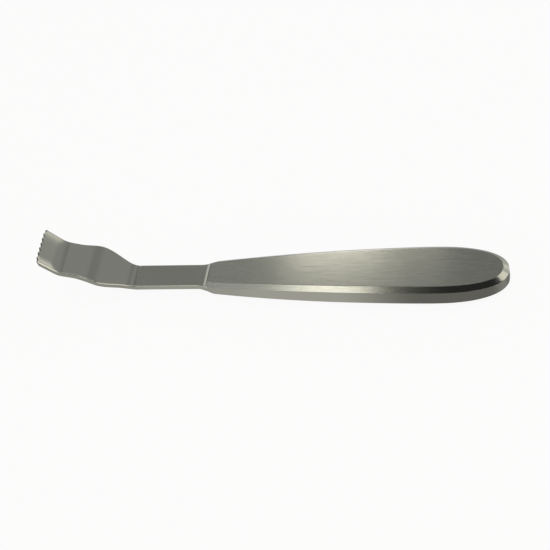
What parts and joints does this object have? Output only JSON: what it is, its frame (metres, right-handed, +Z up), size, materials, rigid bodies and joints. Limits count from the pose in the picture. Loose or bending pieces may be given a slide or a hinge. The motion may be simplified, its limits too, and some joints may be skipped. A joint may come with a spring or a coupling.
{
  "type": "finger retractor",
  "caption": "Hand-held finger retractor: a flat tapered handle with a rounded end, a thin shank, and a bent blade whose turned-up lip has a toothed edge.",
  "frame": {"origin": "under the middle of the whole instrument, on the surface that it lies on", "axes": "+X along the instrument towards the rounded end of the handle, +Y across it, +Z up, out of the handle's upper face"},
  "size_m": [0.178, 0.025, 0.0226],
  "materials": {
    "steel": "satin"
  },
  "bodies": {
    "root": {"retractor": "steel"}
  },
  "joints": []
}
